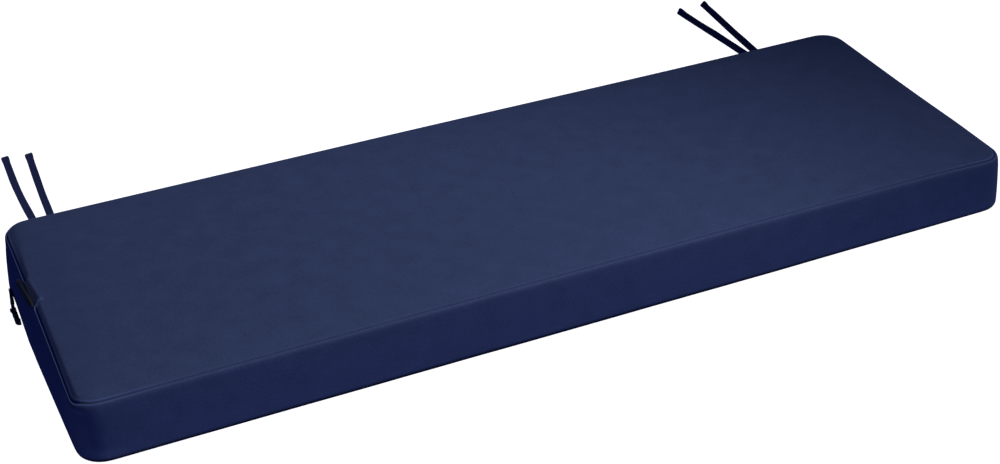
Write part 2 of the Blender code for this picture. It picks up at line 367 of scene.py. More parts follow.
def new_group(name, inputs, outputs):
    """Shader node group with float inputs (name, default) and named outputs."""
    tree = bpy.data.node_groups.new(name, "ShaderNodeTree")
    for label, kind, value in inputs:
        socket = tree.interface.new_socket(label, in_out="INPUT", socket_type=kind)
        if value is not None:
            socket.default_value = value
    for label, kind in outputs:
        tree.interface.new_socket(label, in_out="OUTPUT", socket_type=kind)
    entry = tree.nodes.new("NodeGroupInput")
    leave = tree.nodes.new("NodeGroupOutput")
    return tree, entry.outputs, leave.inputs


def weave_group():
    """Plain weave: yarns over and under, with slubs, and painted shade where the yarns dip under.
    Reads a place in metres.
    """
    name = "plain_weave"
    if name in bpy.data.node_groups:
        return bpy.data.node_groups[name]
    tree, given, out = new_group(
        name,
        (("Place", "NodeSocketVector", None), ("Pitch", "NodeSocketFloat", 0.0008)),
        (("Height", "NodeSocketFloat"), ("Yarn Tone", "NodeSocketFloat")))
    split = tree.nodes.new("ShaderNodeSeparateXYZ")
    tree.links.new(given["Place"], split.inputs[0])
    across = math_node(tree, "DIVIDE", split.outputs[0], given["Pitch"])
    along = math_node(tree, "DIVIDE", split.outputs[1], given["Pitch"])
    cell = math_node(tree, "ADD", math_node(tree, "FLOOR", across),
                     math_node(tree, "FLOOR", along))
    over = math_node(tree, "PINGPONG", cell, 1.0)
    warp = math_node(tree, "SINE", math_node(
        tree, "MULTIPLY", math_node(tree, "FRACT", across), math.pi))
    weft = math_node(tree, "SINE", math_node(
        tree, "MULTIPLY", math_node(tree, "FRACT", along), math.pi))
    under = math_node(tree, "SUBTRACT", 1.0, over)
    lifted = math_node(tree, "ADD", math_node(tree, "MULTIPLY", over, warp),
                       math_node(tree, "MULTIPLY", under, weft))
    tree.links.new(lifted, out["Height"])
    slub = tree.nodes.new("ShaderNodeTexNoise")
    slub.inputs["Scale"].default_value = 330.0
    slub.inputs["Detail"].default_value = 2.0
    tree.links.new(given["Place"], slub.inputs["Vector"])
    # Yarn tone: random slub tone, and painted shade that darkens each yarn towards where it dips
    # under.
    tone_and_shade = math_node(tree, "ADD", math_node(tree, "MULTIPLY", lifted, 0.3),
                     math_node(tree, "MULTIPLY", slub.outputs[0], 0.7))
    tree.links.new(tone_and_shade, out["Yarn Tone"])
    return tree


def mottle_group():
    """Slow unevenness of dye and nap over a cloth, between 0 and 1."""
    name = "cloth_mottle"
    if name in bpy.data.node_groups:
        return bpy.data.node_groups[name]
    tree, given, out = new_group(
        name,
        (("Place", "NodeSocketVector", None), ("Size", "NodeSocketFloat", 40.0)),
        (("Mottle", "NodeSocketFloat"),))
    broad = tree.nodes.new("ShaderNodeTexNoise")
    broad.inputs["Detail"].default_value = 6.0
    broad.inputs["Roughness"].default_value = 0.62
    link_chain(tree, given["Place"], broad.inputs["Vector"],
               given["Size"], broad.inputs["Scale"],
               broad.outputs[0], out["Mottle"])
    return tree


def place_group(tree, group, values):
    node = tree.nodes.new("ShaderNodeGroup")
    node.node_tree = group
    for label, value in values.items():
        if isinstance(value, (int, float)):
            node.inputs[label].default_value = value
        else:
            tree.links.new(value, node.inputs[label])
    return node.outputs


def principled(name, roughness, sheen=0.0, sheen_roughness=0.5, specular=0.5):
    made = bpy.data.materials.new(name)
    made.use_nodes = True
    shader = made.node_tree.nodes["Principled BSDF"]
    shader.inputs["Roughness"].default_value = roughness
    shader.inputs["Specular IOR Level"].default_value = specular
    shader.inputs["Sheen Weight"].default_value = sheen
    shader.inputs["Sheen Roughness"].default_value = sheen_roughness
    return made, made.node_tree, shader


def shade(colour, factor):
    return tuple(min(part * factor, 1.0) for part in colour[:3]) + (1.0,)


def bump(tree, height, strength, distance, before=None):
    node = tree.nodes.new("ShaderNodeBump")
    node.inputs["Strength"].default_value = strength
    node.inputs["Distance"].default_value = distance
    tree.links.new(height, node.inputs["Height"])
    if before is not None:
        tree.links.new(before, node.inputs["Normal"])
    return node.outputs[0]


def cover_material(settings):
    made, tree, shader = principled("cover_cloth", 0.9, sheen=0.02, sheen_roughness=0.5,
                                    specular=0.12)
    place = tree.nodes.new("ShaderNodeUVMap")
    place.uv_map = "cloth"
    weave = place_group(tree, weave_group(),
                        {"Place": place.outputs[0], "Pitch": settings.pitch})
    mottle = place_group(tree, mottle_group(), {"Place": place.outputs[0], "Size": 34.0})
    # The seam attribute carries painted light: above 0 it mixes in a painted highlight, below 0 a
    # painted shade.
    seam = tree.nodes.new("ShaderNodeAttribute")
    seam.attribute_name = "seam"
    highlight_share = math_node(tree, "MAXIMUM", seam.outputs["Fac"], 0.0)
    shade_share = math_node(tree, "MAXIMUM", math_node(tree, "MULTIPLY", seam.outputs["Fac"], -1.0),
                       0.0)
    # Lighter and darker yarns: random slub tone and painted weave shade.
    yarn = mix_colour(tree, weave["Yarn Tone"], shade(settings.colour, 0.3),
                      shade(settings.colour, 1.7))
    dyed = mix_colour(tree, mottle["Mottle"], shade(settings.colour, 0.5),
                      shade(settings.colour, 1.5))
    cloth = mix_colour(tree, 0.5, yarn, dyed)
    # Painted highlight on the seam lips and crease, then painted shade in the grooves, the dent and
    # along the bottom edge.
    painted_highlight = mix_colour(tree, math_node(tree, "MULTIPLY", highlight_share, 0.8), cloth,
                      shade(settings.colour, 2.1))
    painted_shade = mix_colour(tree, shade_share, painted_highlight, shade(settings.colour, 0.2))
    tree.links.new(painted_shade, shader.inputs["Base Color"])
    rough = math_node(tree, "ADD", math_node(tree, "MULTIPLY", mottle["Mottle"], 0.1), 0.82)
    tree.links.new(rough, shader.inputs["Roughness"])
    nap = bump(tree, mottle["Mottle"], 0.35, 0.4 * MM)
    woven = bump(tree, weave["Height"], 0.35, 0.12 * MM, nap)
    tree.links.new(woven, shader.inputs["Normal"])
    return made


def tie_material(settings, pitch):
    made, tree, shader = principled("tie_cloth", 0.9, sheen=0.02, specular=0.12)
    place = tree.nodes.new("ShaderNodeUVMap")
    place.uv_map = "cloth"
    weave = place_group(tree, weave_group(), {"Place": place.outputs[0], "Pitch": pitch})
    mottle = place_group(tree, mottle_group(), {"Place": place.outputs[0], "Size": 120.0})
    # Lighter and darker yarns: random slub tone and painted weave shade.
    yarn = mix_colour(tree, weave["Yarn Tone"], shade(settings.colour, 0.75),
                      shade(settings.colour, 1.3))
    cloth = mix_colour(tree, math_node(tree, "MULTIPLY", mottle["Mottle"], 0.6), yarn,
                       shade(settings.colour, 1.5))
    tree.links.new(cloth, shader.inputs["Base Color"])
    tree.links.new(bump(tree, weave["Height"], 0.4, 0.12 * MM), shader.inputs["Normal"])
    return made


def webbing_material(settings):
    """Ribbed webbing: each row a raised band across."""
    made, tree, shader = principled("ribbed_webbing", 0.7, sheen=0.03, specular=0.2)
    place = tree.nodes.new("ShaderNodeUVMap")
    place.uv_map = "cloth"
    split = tree.nodes.new("ShaderNodeSeparateXYZ")
    tree.links.new(place.outputs[0], split.inputs[0])
    rib = math_node(tree, "ABSOLUTE", math_node(
        tree, "SINE", math_node(tree, "MULTIPLY", split.outputs[0], math.pi / (1.1 * MM))))
    weave = place_group(tree, weave_group(), {"Place": place.outputs[0], "Pitch": 0.55 * MM})
    height = math_node(tree, "ADD", rib, math_node(tree, "MULTIPLY", weave["Height"], 0.6))
    # Lighter and darker yarns: random slub tone and painted weave shade.
    yarn = mix_colour(tree, weave["Yarn Tone"], shade(settings.colour, 0.6),
                      shade(settings.colour, 2.1))
    tree.links.new(yarn, shader.inputs["Base Color"])
    tree.links.new(bump(tree, height, 0.6, 0.18 * MM), shader.inputs["Normal"])
    return made


def plastic_material(settings):
    made, tree, shader = principled("moulded_plastic", 0.42, specular=0.5)
    place = tree.nodes.new("ShaderNodeTexCoord")
    grain = tree.nodes.new("ShaderNodeTexNoise")
    grain.inputs["Scale"].default_value = 2600.0
    grain.inputs["Detail"].default_value = 3.0
    tree.links.new(place.outputs["Object"], grain.inputs["Vector"])
    scuff = place_group(tree, mottle_group(), {"Place": place.outputs["Object"], "Size": 260.0})
    colour = mix_colour(tree, scuff["Mottle"], shade(settings.colour, 0.8),
                        shade(settings.colour, 1.5))
    tree.links.new(colour, shader.inputs["Base Color"])
    rough = math_node(tree, "ADD", math_node(tree, "MULTIPLY", scuff["Mottle"], 0.25), 0.3)
    tree.links.new(rough, shader.inputs["Roughness"])
    tree.links.new(bump(tree, grain.outputs[0], 0.25, 0.03 * MM), shader.inputs["Normal"])
    return made


# ---------------------------------------------------------------- mesh helpers

def held(value):
    """The value kept between 0 and 1."""
    return min(max(value, 0.0), 1.0)


def smooth_step(value):
    share = held(value)
    return share * share * (3.0 - 2.0 * share)


def between(table, place):
    """Value at a place in a table of (place, value) rows."""
    for (low, first), (high, second) in zip(table, table[1:]):
        if place <= high:
            share = max((place - low) / (high - low), 0.0)
            return first + (second - first) * share
    return table[-1][1]


def smooth_route(points, count):
    """count points on a Catmull-Rom curve through the route's own points."""
    ends = [points[0]] + list(points) + [points[-1]]
    made = []
    for index in range(count):
        place = index * (len(points) - 1) / (count - 1)
        leg = min(int(place), len(points) - 2)
        share = place - leg
        a, b, c, d = (Vector(point) for point in ends[leg:leg + 4])
        made.append(0.5 * (2.0 * b + (c - a) * share
                           + (2.0 * a - 5.0 * b + 4.0 * c - d) * share ** 2
                           + (3.0 * b - a - 3.0 * c + d) * share ** 3))
    return made


def piece(name, bm, *finishes):
    """Object at the origin from a bmesh in metres, riding on the body."""
    mesh = bpy.data.meshes.new(name)
    bm.to_mesh(mesh)
    bm.free()
    made = bpy.data.objects.new(name, mesh)
    bpy.context.scene.collection.objects.link(made)
    for finish in finishes:
        mesh.materials.append(finish)
    mesh.shade_smooth()
    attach(made, BODY)
    return made


def subdivide(made, levels):
    modifier = made.modifiers.new("smoothing", "SUBSURF")
    modifier.levels = levels
    modifier.render_levels = levels


def skin(bm, rings):
    """Sides through rings of points; gives each ring's corners and the end edges."""
    corners = [bm.verts.new(point) for point in rings[0]]
    edges = [bm.edges.new(pair) for pair in zip(corners, corners[1:] + corners[:1])]
    made = [corners]
    first = edges
    for ring in rings[1:]:
        pushed = bmesh.ops.extrude_edge_only(bm, edges=edges)["geom"]
        fresh = {item for item in pushed if isinstance(item, bmesh.types.BMVert)}
        edges = [item for item in pushed
                 if isinstance(item, bmesh.types.BMEdge) and fresh.issuperset(item.verts)]
        corners = [next(edge.other_vert(old) for edge in old.link_edges
                        if edge.other_vert(old) in fresh) for old in corners]
        for corner, point in zip(corners, ring):
            corner.co = point
        made.append(corners)
    return made, first, edges


def swept(rings, places):
    """Closed body through rings of points, with a cloth UV map in metres."""
    bm = bmesh.new()
    along_layer = bm.verts.layers.float.new("along")
    across_layer = bm.verts.layers.float.new("across")
    made, first, last = skin(bm, rings)
    for corners, points, place in zip(made, rings, places):
        for corner, far in zip(corners, run_lengths(points)):
            corner[across_layer] = far
            corner[along_layer] = place
    for end in (first, last):
        bmesh.ops.contextual_create(bm, geom=end)
    bmesh.ops.recalc_face_normals(bm, faces=bm.faces)
    girth = run_lengths(rings[0] + rings[0][:1])[-1]
    uv = bm.loops.layers.uv.new("cloth")
    for face in bm.faces:
        values = [corner.vert[across_layer] for corner in face.loops]
        wraps = max(values) - min(values) > girth / 2.0
        for corner, value in zip(face.loops, values):
            if wraps and value < girth / 2.0:
                value += girth
            corner[uv].uv = (corner.vert[along_layer], value)
    return bm


def run_lengths(points):
    total = [0.0]
    for a, b in zip(points, points[1:]):
        total.append(total[-1] + (b - a).length)
    return total


# ---------------------------------------------------------------- cover

def side_shares():
    """Shares of a short side's length at its stations, from front to back."""
    first = SHORT_STATIONS[0][0]
    whole = SHORT_STATIONS[-1][1] - first
    shares = []
    for start, end, steps in SHORT_STATIONS:
        for step in range(steps):
            shares.append((start + (end - start) * step / steps - first) / whole)
    return shares


def side(start, end, normal, shares, drawn):
    for share in shares:
        pull = drawn * math.sin(math.pi * share)
        yield start.lerp(end, share) - normal * pull, normal


def corner_arc(centre, first_angle):
    for step in range(CORNER_STEPS):
        angle = first_angle + math.pi / 2.0 * step / CORNER_STEPS
        normal = Vector((math.cos(angle), math.sin(angle)))
        yield centre + normal * CORNER, normal


def outline():
    """(point, outward normal) pairs round the plan, from the front left."""
    long_half = LENGTH / 2.0 - CORNER
    short_half = WIDTH / 2.0 - CORNER
    even = [step / LONG_STEPS for step in range(LONG_STEPS)]
    close = side_shares()
    back = [0.0] + [1.0 - share for share in reversed(close[1:])]
    pairs = []
    for turn in range(4):
        angle = math.pi / 2.0 * (turn - 1)
        normal = Vector((round(math.cos(angle)), round(math.sin(angle))))
        along = Vector((-normal.y, normal.x))
        on_long = turn % 2 == 0
        half, out = (long_half, short_half) if on_long else (short_half, long_half)
        middle = normal * (out + CORNER)
        shares = even if on_long else (close, back)[turn // 2]
        drawn = DRAWN_LONG if on_long else DRAWN_SHORT
        pairs += side(middle - along * half, middle + along * half, normal, shares, drawn)
        pairs += corner_arc(normal * out + along * half, angle)
    return pairs


def cover_skin(bm, layers):
    """Rings of the sewn section, from the underside to the top panel."""
    pairs = outline()
    far = run_lengths([point for point, _normal in pairs])
    rings = [[(*((point - normal * inset) * MM), height * MM) for point, normal in pairs]
             for inset, height, _pin, _seam in SECTION]
    made, first, last = skin(bm, rings)
    for index, (corners, (_inset, _height, pin, seam)) in enumerate(zip(made, SECTION)):
        for corner, distance in zip(corners, far):
            strength = seam_strength(corner.co / MM)
            if abs(index - UPPER_GROOVE) < 2:
                corner.co.z += (SECTION[UPPER_GROOVE - 3][1] * MM - corner.co.z) \
                    * (1.0 - 0.7 * strength)
            corner[layers["pin"]] = pin
            # The seam value is painted light; near the top seam its painted highlights fade with
            # the seam's strength and its painted shade with the square of it.
            fade = 1.0 if index < UPPER_GROOVE - 6 else strength if seam > 0.0 else strength ** 2
            corner[layers["seam"]] = seam * fade
            corner[layers["round"]] = distance * MM
            corner[layers["ring"]] = index
    return first, last


def seam_strength(place):
    """The seams' grooves, painted highlights and painted shade show most along the left end and
    near the two front corners.
    """
    from_end = LENGTH / 2.0 - abs(place.x)
    at_corner = smooth_step(1.0 - from_end / 150.0)
    return 0.25 + 0.75 * max(at_corner, held(1.0 - (place.x + LENGTH / 2.0) / 20.0))


def fill_panel(bm, loop, layers, ring):
    """Merges the loop's closed-up corners and fills it with a grid."""
    corners = {corner for edge in loop for corner in edge.verts}
    bmesh.ops.remove_doubles(bm, verts=list(corners), dist=0.01 * MM)
    rim = [corner for corner in corners if corner.is_valid]
    edge_y = max(corner.co.y for corner in rim)
    chosen = set(rim)
    rails = [edge for edge in {e for c in rim for e in c.link_edges}
             if edge.verts[0] in chosen and edge.verts[1] in chosen
             and all(abs(corner.co.y) > edge_y - 2.0 * MM for corner in edge.verts)]
    before = set(bm.verts)
    bmesh.ops.grid_fill(bm, edges=rails, use_interp_simple=True)
    for corner in bm.verts:
        if corner not in before:
            corner[layers["ring"]] = ring


def cover_mesh(settings):
    bm = bmesh.new()
    layers = {name: bm.verts.layers.float.new(name) for name in ("pin", "seam", "round")}
    layers["ring"] = bm.verts.layers.int.new("ring")
    foot, top = cover_skin(bm, layers)
    last = len(SECTION)
    fill_panel(bm, foot, layers, -1)
    fill_panel(bm, top, layers, last)
    for corner in bm.verts:
        if corner[layers["ring"]] == -1:
            corner[layers["pin"]] = 1.0
        if corner[layers["ring"]] >= last - 1:
            corner.co.z += settings.crown * crown_share(corner.co.x, corner.co.y)
    bmesh.ops.recalc_face_normals(bm, faces=bm.faces)
    return bm, layers


def crown_share(x, y):
    """0 at the panel's roll and 1 over its middle."""
    half_y = WIDTH / 2.0 * MM - CORNER * MM
    spine = LENGTH / 2.0 * MM - CORNER * MM - half_y
    over = max(abs(x) - spine, 0.0) / half_y
    return (1.0 - (abs(y) / half_y) ** 2.0) * (1.0 - over ** 2.0)


def cloth_uv(bm, layers):
    """Panels take their plan, the band takes its run round and its height."""
    uv = bm.loops.layers.uv.new("cloth")
    whole = max(corner[layers["round"]] for corner in bm.verts)
    for face in bm.faces:
        rings = [corner.vert[layers["ring"]] for corner in face.loops]
        low, high = min(rings), max(rings)
        on_band = low >= LOWER_GROOVE and high <= UPPER_GROOVE
        runs = [corner.vert[layers["round"]] for corner in face.loops]
        wraps = max(runs) - min(runs) > whole / 2.0
        for corner, run in zip(face.loops, runs):
            place = corner.vert.co
            if not on_band:
                corner[uv].uv = (place.x, place.y)
                continue
            if wraps and run < whole / 2.0:
                run += whole
            corner[uv].uv = (run, place.z)


def fill_with_cloth(made, cap):
    """Blows the cloth out under pressure between its held seams, then keeps each
    point within cap of its place."""
    rest = [corner.co.copy() for corner in made.data.vertices]
    held = made.vertex_groups.new(name="held")
    pins = made.data.attributes["pin"].data
    for index, pin in enumerate(pins):
        if pin.value > 0.0:
            held.add([index], pin.value, "REPLACE")
    modifier = made.modifiers.new("filling", "CLOTH")
    cloth = modifier.settings
    cloth.quality = 5
    cloth.mass = 0.3
    cloth.tension_stiffness = 25.0
    cloth.compression_stiffness = 25.0
    cloth.shear_stiffness = 10.0
    cloth.bending_stiffness = 2.0
    cloth.use_pressure = True
    cloth.uniform_pressure_force = 4.0
    cloth.vertex_group_mass = "held"
    cloth.effector_weights.gravity = 0.0
    modifier.collision_settings.use_collision = False
    modifier.point_cache.frame_start = 1
    modifier.point_cache.frame_end = 20
    scene = bpy.context.scene
    for number in range(1, 21):
        scene.frame_set(number)
    graph = bpy.context.evaluated_depsgraph_get()
    blown = [corner.co.copy() for corner in made.evaluated_get(graph).data.vertices]
    scene.frame_set(1)
    made.modifiers.remove(modifier)
    for corner, start, end in zip(made.data.vertices, rest, blown):
        move = end - start
        if move.length > 1e-9:
            move *= cap * math.tanh(move.length / cap) / move.length
        corner.co = start + move
    made.vertex_groups.remove(held)


def end_shift(x, y, z):
    """How far the two ends move a point along X."""
    from_left = x + LENGTH / 2.0
    from_right = LENGTH / 2.0 - x
    foot = held(1.0 - z / BAND_TOP)
    near_left = held(1.0 - from_left / END_REACH) ** 2
    near_right = held(1.0 - from_right / END_REACH) ** 2
    shift = -near_left * foot * between(LEFT_LEAN, y)
    if z > SEAM_FOOT:
        squeeze = held(from_left / 6.2) * smooth_step(1.0 - (from_left - 4.0) / DRIFT_REACH)
        shift -= SEAM_DRIFT * squeeze
    shift += near_right * foot * RIGHT_LEAN * (1.0 - smooth_step((y + 150.0) / 200.0))
    return shift + near_right * RIGHT_SKEW * smooth_step((y + 90.0) / 300.0)


def dent_place(from_left, y):
    """Edge of the facet, distance behind its crease and share of the dent there."""
    edge = DENT_EDGE - DENT_SLANT * (y - 20.0)
    behind = y - CREASE + 8.0 * held((12.0 - from_left) / 10.0) ** 2
    share = smooth_step(behind / 2.5) * smooth_step((DENT_BACK - y) / 16.0)
    share *= held((60.0 - from_left) / 20.0)
    return edge, behind, share * held((from_left - 1.2) / 1.5)


def crease_share(from_left, edge, behind):
    return held(1.4 - abs(behind) / 2.4) * held(from_left - 1.5) * held(edge + 2.5 - from_left)


def dented(from_left, y, z, fall):
    """Height once the handle has drawn a slanting facet into the panel beside it."""
    edge, behind, share = dent_place(from_left, y)
    facet = DENT_TOP - fall * (edge - from_left)
    if from_left > edge:
        facet = max(z, DENT_TOP)
    z += share * (facet - z)
    ridge = CREASE_FOOT + CREASE_RISE * from_left
    return z + crease_share(from_left, edge, behind) * max(ridge - z, 0.0)


def uneven(x, y, z, inset, dent):
    """Moves a point of the even cushion to its place on the uneven one."""
    moved = x + end_shift(x, y, z)
    from_left = moved + LENGTH / 2.0
    reach = DROP_REACH - 4.5 + BACK_REACH * smooth_step((y - 90.0) / 110.0)
    drop = LEFT_DROP * (1.0 - smooth_step((from_left - 4.5) / reach))
    drop += BACK_SAG * smooth_step((x + 150.0) / 600.0) * smooth_step((y + 100.0) / 300.0)
    drop += CORNER_SAG * smooth_step((x - 480.0) / 120.0) * smooth_step((-90.0 - y) / 110.0)
    drop += SHOULDER_DROP * held((3.6 - from_left) / 3.6)
    lowered = z - drop * held((z - 50.0) / 27.0)
    if z > SEAM_FOOT:
        lowered = dented(from_left, y, lowered, dent)
    lift = between(FOOT_LIFT, x) * held((200.0 - y) / 150.0)
    lift *= held((25.0 - inset) / 14.0) * held(1.0 - z / 40.0)
    return moved, y, lowered + lift


def waves(x, y, z, ring):
    """Slow unevenness of the filled cloth, off the seams."""
    if ring <= 8 or UPPER_GROOVE - 6 <= ring < UPPER_GROOVE + 4:
        return x, y, z
    push = 0.55 * noise.noise(Vector((x / 130.0, y / 90.0, z / 60.0)))
    push += 0.22 * noise.noise(Vector((x / 46.0 + 9.0, y / 38.0, z / 30.0)))
    if ring > UPPER_GROOVE:
        return x, y, z + push
    outward = Vector((x, y * 4.0)).normalized() * push * 0.8
    return x + outward.x, y + outward.y, z


def shape_cover(made, settings):
    """Slow waves, then the uneven ends, the dent and the sag."""
    rings = made.data.attributes["ring"].data
    seams = made.data.attributes["seam"].data
    for corner, ring in zip(made.data.vertices, rings):
        row = ring.value
        inset = SECTION[row][0] if 0 <= row < len(SECTION) else 40.0
        x, y, z = waves(*(corner.co / MM), row)
        x, y, z = uneven(x, y, z, inset, settings.dent)
        corner.co = Vector((x, y, max(z, 0.0))) * MM
        # Paints shade into the dent and a highlight along the crease in front of it.
        if row > UPPER_GROOVE - 4:
            mark_dent(seams[corner.index], x + LENGTH / 2.0, y)


def mark_dent(seam, from_left, y):
    """Paints the dent: where the seam is folded under, the seam's painted highlight gives way to a
    faint painted shade, and a painted highlight runs along the crease in front of it.
    """
    edge, behind, share = dent_place(from_left, y)
    share *= held(edge - from_left + 0.5)
    seam.value += share * (-0.1 - seam.value)
    seam.value += crease_share(from_left, edge, behind) * (1.0 - seam.value)


def build_cover():
    settings = bpy.context.scene.bench_cushion.cover
    bm, layers = cover_mesh(settings)
    cloth_uv(bm, layers)
    made = piece("sewn_cover", bm, cover_material(settings))
    fill_with_cloth(made, settings.swell)
    shape_cover(made, settings)
    subdivide(made, 1)
    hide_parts("cushion")


# ---------------------------------------------------------------- ties

def tie_section(width, thick, bulge):
    """Folded strip, flat underneath, with rounded folds, as (across, up)."""
    half = width / 2.0
    low, high = -thick / 2.0, thick / 2.0
    return ((-half + thick * 0.35, low), (-half * 0.5, low * 0.96), (0.0, low),
            (half * 0.5, low * 0.96), (half - thick * 0.35, low),
            (half - thick * 0.08, low * 0.6), (half, 0.0), (half - thick * 0.08, high * 0.6),
            (half - thick * 0.35, high), (half * 0.62, high * (0.96 + bulge)),
            (half * 0.3, high * 0.86), (half * 0.1, high * 0.66), (-half * 0.1, high * 0.9),
            (-half * 0.5, high * 0.92), (-half + thick * 0.35, high * 0.9),
            (-half + thick * 0.08, high * 0.6), (-half, 0.0), (-half + thick * 0.08, low * 0.6))


def tie_mesh(route, settings, seed, tilt):
    flat = [Vector((p.x, p.y, 0.0)) * MM for p in smooth_route(route, TIE_STATIONS)]
    runs = run_lengths(flat)
    whole = runs[-1]
    rings = []
    path = []
    for index, (place, run) in enumerate(zip(flat, runs)):
        before = flat[max(index - 1, 0)]
        after = flat[min(index + 1, TIE_STATIONS - 1)]
        ahead = (after - before).normalized()
        across = Vector((ahead.y, -ahead.x, 0.0))
        wobble = noise.noise(Vector((run * 22.0, seed, 0.0)))
        roll = noise.noise(Vector((run * 12.0, seed + 5.0, 0.0))) * 0.2
        roll += math.radians(tilt) * smooth_step(run / 0.06)
        from_tip = whole - run
        tip = smooth_step((0.016 - from_tip) / 0.004)
        end = smooth_step((0.003 - from_tip) / 0.003)
        width = settings.width * (1.0 + 0.06 * wobble + 0.10 * tip - 0.12 * end)
        thick = settings.thickness * (1.0 + 0.45 * tip - 0.35 * end)
        centre = Vector((place.x, place.y, TIE_CENTRE * MM))
        path.append(centre)
        if index == 0:
            centre = centre - ahead * TIE_TUCK * MM
        lie = Vector((across.x * math.cos(roll), across.y * math.cos(roll), math.sin(roll)))
        up = lie.cross(ahead)
        up = up if up.z > 0.0 else -up
        reach = abs(lie.z) * width / 2.0 + up.z * thick / 2.0 + 0.3 * MM
        centre = centre + Vector((0.0, 0.0, max(reach - TIE_CENTRE * MM, 0.0)))
        rings.append([centre + lie * a + up * b
                      for a, b in tie_section(width, thick, 0.1 * wobble)])
    return swept(rings, runs), path, whole


def build_ties():
    settings = bpy.context.scene.bench_cushion.ties
    pitch = bpy.context.scene.bench_cushion.cover.pitch
    finish = tie_material(settings, pitch * 0.8)
    for seed, ((node, route), tilt) in enumerate(zip(TIE_ROUTES.items(), TIE_ROLLS)):
        bm, path, length = tie_mesh(route, settings, seed * 3.7, tilt)
        made = piece(node + "_cloth", bm, finish)
        subdivide(made, 1)
        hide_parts(node)


# ---------------------------------------------------------------- webbing

def webbing_section(inner, outer, lift):
    """Rounded strip between two edges."""
    across = outer - inner
    place = [inner + across * share for share in (0.0, 0.06, 0.25, 0.5, 0.75, 0.94, 1.0)]
    rise = (0.35, 0.85, 1.0, 1.0, 1.0, 0.85, 0.35)
    low = [p - lift * r for p, r in zip(place, rise)]
    high = [p + lift * r for p, r in zip(place, rise)]
    return low + high[::-1]


def webbing_body(stations, thick):
    centres = [(inner + outer) / 2.0 for inner, outer in stations]
    rings = []
    for index, (inner, outer) in enumerate(stations):
        before = centres[max(index - 1, 0)]
        after = centres[min(index + 1, len(stations) - 1)]
        lift = (after - before).cross(outer - inner).normalized() * (thick / 2.0)
        rings.append(webbing_section(inner, outer, lift))
    return swept(rings, run_lengths(centres))


def handle_loop():
    """Edges of the folded webbing: out along one layer, round the fold and back."""
    upper = smooth_route([(row[1], row[0], row[2]) for row in HANDLE[::-1]], 34)
    lower = smooth_route([(row[3], row[0], row[4]) for row in HANDLE[::-1]], 34)
    middle = [(a + b) / 2.0 for a, b in zip(upper, lower)]
    half = [(a - b) / 2.0 for a, b in zip(upper, lower)]
    out_side = []
    for index, up in enumerate(half):
        ahead = middle[min(index + 1, 33)] - middle[max(index - 1, 0)]
        gap = 0.66 + 0.75 * smooth_step((index - 16) / 17.0)
        out_side.append(up.cross(ahead).normalized() * gap)
    tip = (middle[-1] - middle[-2]).normalized() * out_side[-1].length
    path = [(m - out, h) for m, out, h in zip(middle, out_side, half)]
    for step in range(1, 8):
        angle = math.pi * step / 8.0
        turned = tip * math.sin(angle) - out_side[-1] * math.cos(angle)
        path.append((middle[-1] + turned, half[-1]))
    path += [(m + out, h) for m, out, h in zip(middle, out_side, half)][::-1]
    left = Vector((-LENGTH / 2.0, 0.0, 0.0))
    return [((left + m + h) * MM, (left + m - h) * MM) for m, h in path]


def build_handle():
    settings = bpy.context.scene.bench_cushion.webbing
    bm = webbing_body(handle_loop(), settings.handle_thickness / 2.0 - 0.2 * MM)
    made = piece("handle_webbing", bm, webbing_material(settings))
    subdivide(made, 1)
    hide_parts("carry_handle")


def build_straps():
    settings = bpy.context.scene.bench_cushion.webbing
    finish = bpy.data.materials.get("ribbed_webbing") or webbing_material(settings)
    for node, route in STRAPS.items():
        low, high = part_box(node)[0][2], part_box(node)[1][2]
        line = smooth_route(route, 60)
        stations = []
        for p in line:
            tilt = STRAP_TILT * smooth_step((p.y - 129.0) / 6.0) * smooth_step((171.0 - p.y) / 12.0)
            stations.append((Vector(((p.x - tilt) * MM, p.y * MM, low)),
                             Vector(((p.x + tilt) * MM, p.y * MM, high))))
        made = piece(node + "_webbing", webbing_body(stations, settings.strap_thickness),
                     finish)
        subdivide(made, 1)
        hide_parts(node)


# ---------------------------------------------------------------- buckle

def moulded_plate(bm, outline_yz, x_low, x_high, rounding):
    """Rounded plate with its outline given as (y, z) and its faces across X."""
    corners = [bm.verts.new((x_low * MM, y * MM, z * MM)) for y, z in outline_yz]
    made = bmesh.ops.contextual_create(bm, geom=corners)
    pushed = bmesh.ops.extrude_face_region(bm, geom=made["faces"])
    moved = [item for item in pushed["geom"] if isinstance(item, bmesh.types.BMVert)]
    bmesh.ops.translate(bm, vec=((x_high - x_low) * MM, 0.0, 0.0), verts=moved)
    body = set(corners) | set(moved)
    edges = {edge for corner in body for edge in corner.link_edges}
    bmesh.ops.bevel(bm, geom=list(edges), offset=rounding * MM, segments=2, profile=0.5,
                    affect="EDGES", material=-1)


def mirrored(half):
    """Closed outline from its upper half, given as (y, height over the middle)."""
    return ([(y, BUCKLE_MIDDLE + h) for y, h in half]
            + [(y, BUCKLE_MIDDLE - h) for y, h in reversed(half)])


def build_buckle():
    settings = bpy.context.scene.bench_cushion.buckle
    finish = plastic_material(settings)
    for node, plates in BUCKLE_PLATES.items():
        bm = bmesh.new()
        for half, x_low, x_high, low, high in plates:
            rounding = min(settings.rounding / MM, (x_high - x_low) * 0.3)
            if low == high:
                moulded_plate(bm, mirrored(half), x_low, x_high, rounding)
                continue
            strip = [(y, low) for y, _h in half] + [(y, high) for y, _h in reversed(half)]
            moulded_plate(bm, strip, x_low, x_high, rounding)
        bmesh.ops.recalc_face_normals(bm, faces=bm.faces)
        made = piece(node + "_moulding", bm, finish)
        made.data.set_sharp_from_angle(angle=math.radians(35.0))
        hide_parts(node)


# ---------------------------------------------------------------- stage

